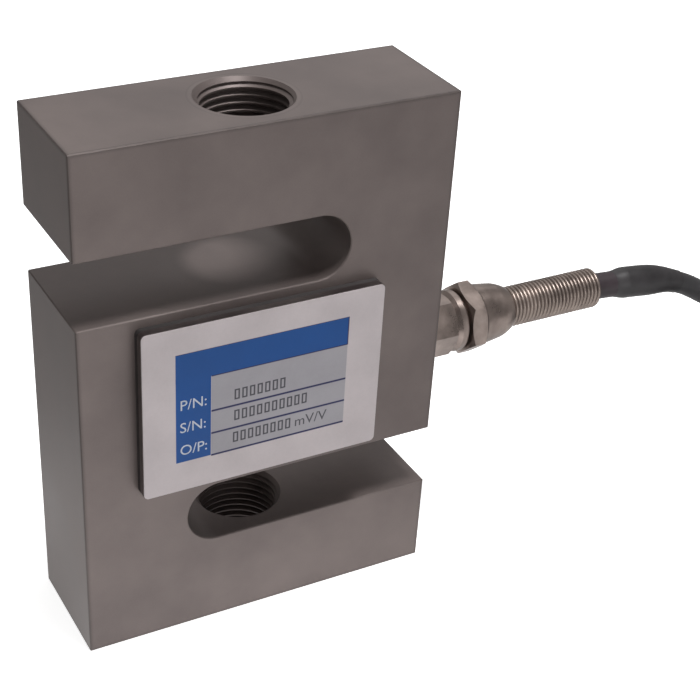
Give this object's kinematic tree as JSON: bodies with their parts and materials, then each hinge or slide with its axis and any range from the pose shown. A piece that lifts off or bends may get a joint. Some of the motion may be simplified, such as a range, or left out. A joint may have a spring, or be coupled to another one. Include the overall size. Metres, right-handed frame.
{
  "type": "s type load cell",
  "caption": "S shaped steel load cell with a threaded hole in each loading face, covered gauge pockets, and a cable that leaves one side through a gland and spring guard",
  "frame": {"origin": "centre of the bottom loading face, on the load axis", "axes": "+Z along the load axis, up; +X out of the cable gland; -Y is the side with the cover and label"},
  "size_m": [0.3096, 0.048, 0.108],
  "materials": {
    "nickel_steel": "satin",
    "cover_steel": "satin",
    "gland_nickel": "satin",
    "spring_steel": "satin",
    "label_print": "matt",
    "gasket_rubber": "matt",
    "bush_rubber": "matt",
    "washer_nylon": "matt",
    "jacket": "matt",
    "sleeve_shrink": "satin",
    "tie_plastic": "matt",
    "gauge_foil": "satin",
    "sealant": "satin",
    "board": "satin",
    "solder": "polished",
    "resistor": "satin",
    "enamel": "gloss",
    "core_red": "satin",
    "core_green": "satin",
    "core_black": "satin",
    "core_white": "satin",
    "core_shield": "satin",
    "tinned": "satin"
  },
  "bodies": {
    "root": {"s_block": "nickel_steel", "front_gasket": "gasket_rubber", "front_cover": "cover_steel", "front_label": "label_print", "rear_seal_disc": "cover_steel", "gauge_front_left": "gauge_foil", "gauge_front_right": "gauge_foil", "gauge_rear_left": "gauge_foil", "gauge_rear_right": "gauge_foil", "front_gauge_sealant": "sealant", "rear_gauge_sealant": "sealant", "bridge_board": "board", "solder_terminals": "solder", "trim_resistors": "resistor", "front_gauge_leads": "enamel", "rear_gauge_leads": "enamel", "wire_red": "core_red", "wire_green": "core_green", "wire_black": "core_black", "wire_white": "core_white", "gland_washer": "washer_nylon", "gland_body": "gland_nickel", "gland_bush": "bush_rubber", "gland_slip_washer": "washer_nylon", "gland_nut": "gland_nickel", "guard_spring": "spring_steel", "cable_root": "jacket", "sleeve_inner": "sleeve_shrink", "sleeve_outer": "sleeve_shrink", "cable": "jacket", "cable_hank": "jacket", "hank_tie_front": "tie_plastic", "hank_tie_rear": "tie_plastic", "cable_tail": "jacket", "end_boot": "sleeve_shrink", "lead_red": "core_red", "lead_green": "core_green", "lead_black": "core_black", "lead_white": "core_white", "lead_shield": "core_shield", "lead_tips": "tinned"}
  },
  "joints": []
}
